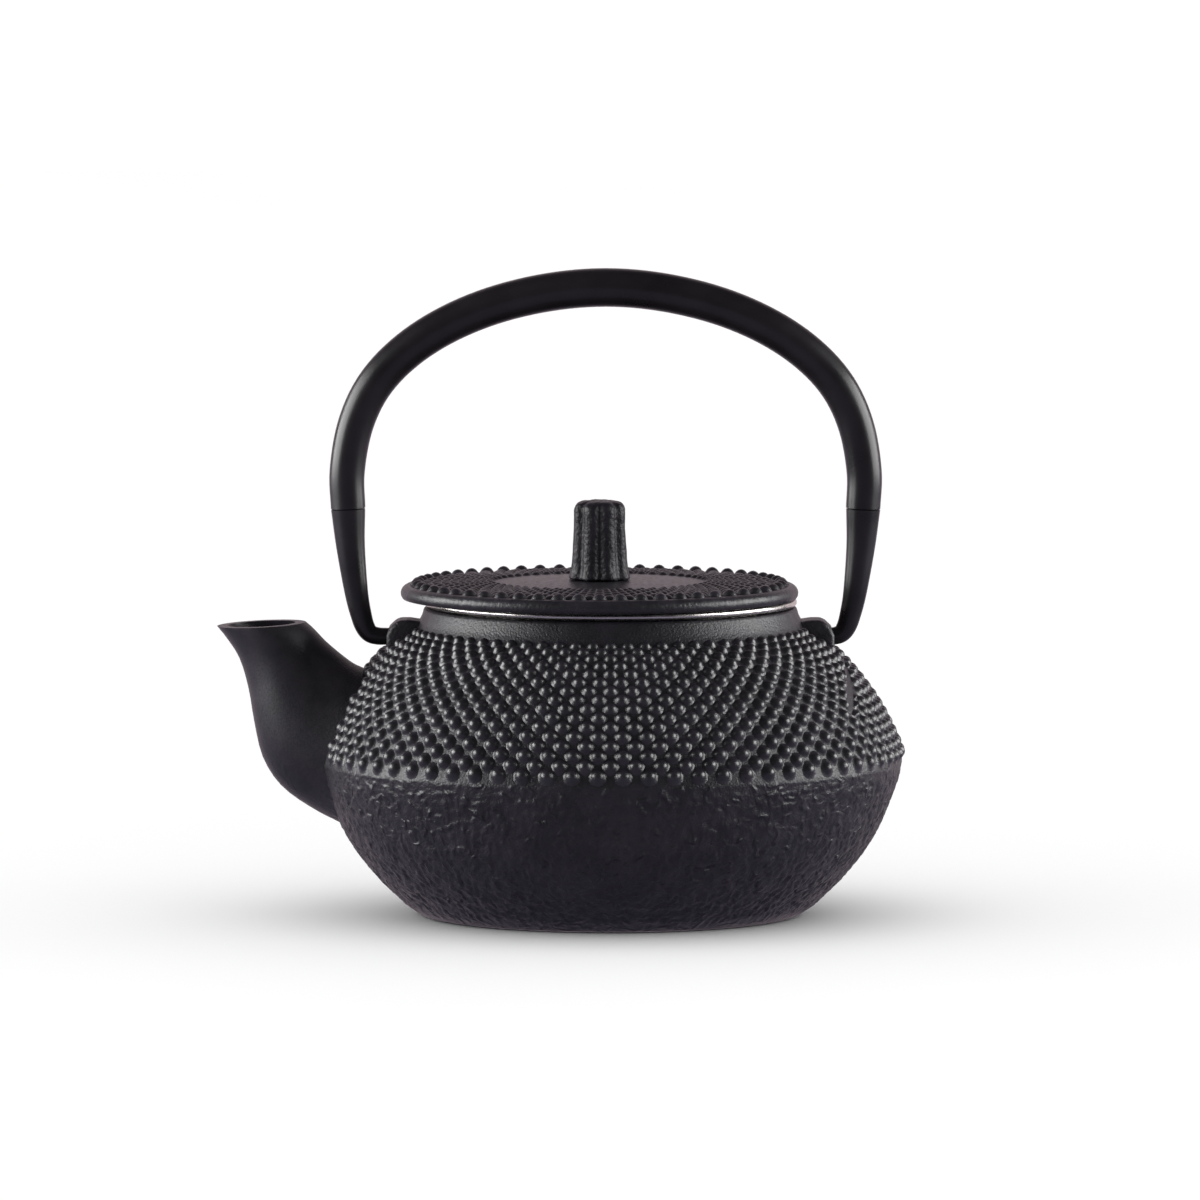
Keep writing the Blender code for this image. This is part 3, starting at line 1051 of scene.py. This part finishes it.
def bump(tree, height, strength, depth_mm):
    made = add(tree, "Bump", {"Height": height, "Strength": strength, "Distance": depth_mm * MM})
    return made.outputs["Normal"]


def glossy_lining():
    material, tree, shader, place = new_finish("glossy_black_lining", Metallic=0.0, IOR=1.5)
    dimple = noise(tree, place, 4.0, 2.0)
    colour = ramp(tree, dimple, 0.3, 0.7, "#0f0e10", "#161416")
    rough = spread(tree, dimple, 0.3, 0.7, 0.12, 0.2)
    relief = bump(tree, dimple, 0.3, 0.2)
    connect(tree, shader, Base_Color=colour, Roughness=rough, Normal=relief)
    return material


def rolled_steel():
    material, tree, shader, place = new_finish("rolled_stainless_steel", Metallic=1.0)
    streak = add(tree, "Mapping", {"Vector": place, "Scale": (1, 1, 12)})
    brush = noise(tree, streak.outputs["Vector"], 3.0, 3.0)
    colour = ramp(tree, brush, 0.3, 0.7, "#bdb8b2", "#d8d4cf")
    connect(tree, shader, Base_Color=colour, Roughness=spread(tree, brush, 0.3, 0.7, 0.2, 0.34))
    return material


def woven_steel():
    material, tree, shader, place = new_finish("woven_stainless_mesh", Metallic=1.0)
    cell = add(tree, "TexVoronoi", {"Vector": place, "Scale": per_mm(0.8)}, distance="CHEBYCHEV")
    from_hole_middle = cell.outputs["Distance"]
    # The holes of the weave are painted dark: painted shade where the inside of the cup would show
    # through.
    colour = ramp(tree, from_hole_middle, 0.2, 0.5, "#2a2927", "#c6c1ba")
    rough = spread(tree, from_hole_middle, 0.2, 0.6, 0.5, 0.3)
    relief = bump(tree, from_hole_middle, 0.6, 0.2)
    connect(tree, shader, Base_Color=colour, Roughness=rough, Normal=relief)
    return material


def handle_paint():
    material, tree, shader, place = new_finish(
        "baked_black_paint", Metallic=0.0, IOR=1.5, Specular_IOR_Level=0.32
    )
    flow = noise(tree, place, 9.0, 2.0)
    speck = noise(tree, place, 0.5, 2.0)
    colour = ramp(tree, flow, 0.3, 0.7, "#0e0c0e", "#141115")
    rough = spread(tree, flow, 0.3, 0.7, 0.26, 0.36)
    relief = bump(tree, speck, 0.12, 0.08)
    connect(tree, shader, Base_Color=colour, Roughness=rough, Normal=relief)
    return material


lining = glossy_lining()
steel = rolled_steel()
mesh_steel = woven_steel()
paint = handle_paint()

# %% [markdown]
# ## Putting the pieces on their bodies
#
# Each piece takes its finish, its smooth shading and its place on the body that it moves with, and
# the plain solids that it stands for are hidden.


# %% Finishing the pieces
def finish_piece(piece, material, body, stands_for=(), angle=38):
    piece.data.materials.clear()
    piece.data.materials.append(material)
    take_up(piece)
    bpy.ops.object.shade_smooth_by_angle(angle=math.radians(angle))
    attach(piece, body)
    if stands_for:
        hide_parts(*stands_for)


pot_nodes = [name for name in frame["nodes"] if name.startswith("pot_")]
finish_piece(casting, skin, "pot", pot_nodes)
finish_piece(pot_studs, stud_skin, "pot", angle=60)
finish_piece(lid_casting, lid_skin, "lid", ["lid"])
finish_piece(lid_studs, stud_skin, "lid", angle=60)
finish_piece(knob, knob_skin, "lid", ["lid_knob"], angle=60)
finish_piece(bow, paint, "handle", ["handle_bow"])
finish_piece(hooks[1], paint, "handle", ["handle_hook_right"])
finish_piece(hooks[-1], paint, "handle", ["handle_hook_left"])
finish_piece(rim, steel, "infuser", ["infuser_rim"])

carried = {
    "infuser_wall": mesh_steel,
    "infuser_base_ring": steel,
    "infuser_base_mesh": mesh_steel,
    "knob_rivet": stud_skin,
}
for name, material in carried.items():
    node = frame["nodes"][name]
    node.data.materials.clear()
    node.data.materials.append(material)

# %% The lining inside the pot
casting.data.materials.append(lining)


def inside(face):
    """Whether a face is on the hollow's side of the wall: it looks in, or up from the floor."""
    middle = face.calc_center_median() / MM
    out = Vector((middle.x, middle.y, 0))
    looks_in = face.normal.dot(out) < 0 or face.normal.z > 0.9
    outer_r = radius_at([*shoulder_line, *bowl_line], middle.z) or NECK_R
    return looks_in and 2 < middle.z < NECK_TOP - 0.5 and out.length < outer_r - WALL / 2


open_mesh(casting)
print("lined faces:", pick(casting, inside, "FACE"))
casting.active_material_index = 1
bpy.ops.object.material_slot_assign()
close_mesh()

# %% [markdown]
# ## Stage, light and camera
#
# Product shots of black iron want white all round for soft light, and little to mirror: the gloss
# sees a dim table, a pale wall behind and two long soft lights low at the sides. The camera stands
# far back with a long lens, a little above the level of the pot.

# %% Floor and lights
deselect()
bpy.ops.mesh.primitive_plane_add(size=6, location=(0, 0, -0.0002))
floor = bpy.context.object
floor.name = "studio_floor"
floor_paint, tree, shader, place = new_finish("matt_white_floor", Roughness=0.9)
mottle = add(tree, "TexNoise", {"Vector": place, "Scale": 2.0})
connect(tree, shader, Base_Color=ramp(tree, mottle.outputs["Fac"], 0.2, 0.8, "#f4f4f4", "#fafafa"))
floor.data.materials.append(floor_paint)
floor.visible_glossy = False
floor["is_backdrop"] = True

SKY_STRENGTH = 1.15
TABLE_GLOW = (0.26, 0.24, 0.34, 1)
WALL_GLOW = (0.76, 0.63, 0.68, 1)
ROOM_GLOW = (0.01, 0.01, 0.012, 1)


def studio_world():
    """White all round for the eye and for soft light. The gloss sees only a dim room.

    In the gloss the table is a dim violet grey, the wall behind is pale and the rest is dark.
    """
    made = bpy.data.worlds.new("white_studio")
    made.use_nodes = True
    nodes = made.node_tree
    sky = nodes.nodes["Background"]
    direction = add(nodes, "TexCoord").outputs["Generated"]
    split = add(nodes, "SeparateXYZ", {"Vector": direction})
    table = spread(nodes, split.outputs["Z"], 0.02, -0.12, 0.0, 1.0)
    wall = spread(nodes, split.outputs["Y"], 0.55, 0.95, 0.0, 1.0)
    room = add(nodes, "Mix", {0: table, 6: ROOM_GLOW, 7: TABLE_GLOW}, data_type="RGBA")
    behind = add(nodes, "Mix", {0: wall, 6: room.outputs[2], 7: WALL_GLOW}, data_type="RGBA")
    in_gloss = add(nodes, "LightPath").outputs["Is Glossy Ray"]
    white = (SKY_STRENGTH, SKY_STRENGTH, SKY_STRENGTH, 1)
    seen = add(nodes, "Mix", {0: in_gloss, 6: white, 7: behind.outputs[2]}, data_type="RGBA")
    nodes.links.new(seen.outputs[2], sky.inputs["Color"])
    return made


bpy.context.scene.world = studio_world()

# %% The two lights
LAMP_HEIGHT = 15  # degrees above the pot
LAMP_DISTANCE = 0.8
LAMP_SIZE = (0.8, 0.45)
LAMP_TARGET = Vector((0, 0, 0.06))

lit_by_lamps = bpy.data.collections.new("lit_by_lamps")
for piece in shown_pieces():
    lit_by_lamps.objects.link(piece)


def softbox(name, azimuth, power):
    """An oblong area light that faces the pot. Azimuth 0 is the camera's side, -90 the spout's."""
    a, e = math.radians(azimuth), math.radians(LAMP_HEIGHT)
    out = Vector((math.sin(a) * math.cos(e), -math.cos(a) * math.cos(e), math.sin(e)))
    deselect()
    bpy.ops.object.light_add(type="AREA", location=LAMP_TARGET + out * LAMP_DISTANCE)
    lamp = bpy.context.object
    lamp.name = name
    lamp.data.shape = "RECTANGLE"
    lamp.data.size, lamp.data.size_y = LAMP_SIZE
    lamp.data.energy = power
    lamp.rotation_euler = (-out).to_track_quat("-Z", "Y").to_euler()
    lamp.visible_camera = False
    lamp.light_linking.receiver_collection = lit_by_lamps
    return lamp


softbox("soft_light_right", 90, 11.0)
softbox("soft_light_left", -90, 13.0)

# %% Camera
CAMERA_RISE = math.radians(4.8)
CAMERA_DISTANCE = 3.0
AIM = Vector((-0.0022, 0, 0.0665))
deselect()
bpy.ops.object.camera_add()
camera = bpy.context.object
camera.data.lens = 425
camera.data.sensor_width = 36
back = Vector((0, -math.cos(CAMERA_RISE), math.sin(CAMERA_RISE)))
camera.location = AIM + back * CAMERA_DISTANCE
camera.rotation_euler = (-back).to_track_quat("-Z", "Y").to_euler()
camera.data.clip_end = 20
bpy.context.scene.camera = camera
bpy.context.scene.view_settings.view_transform = "Standard"
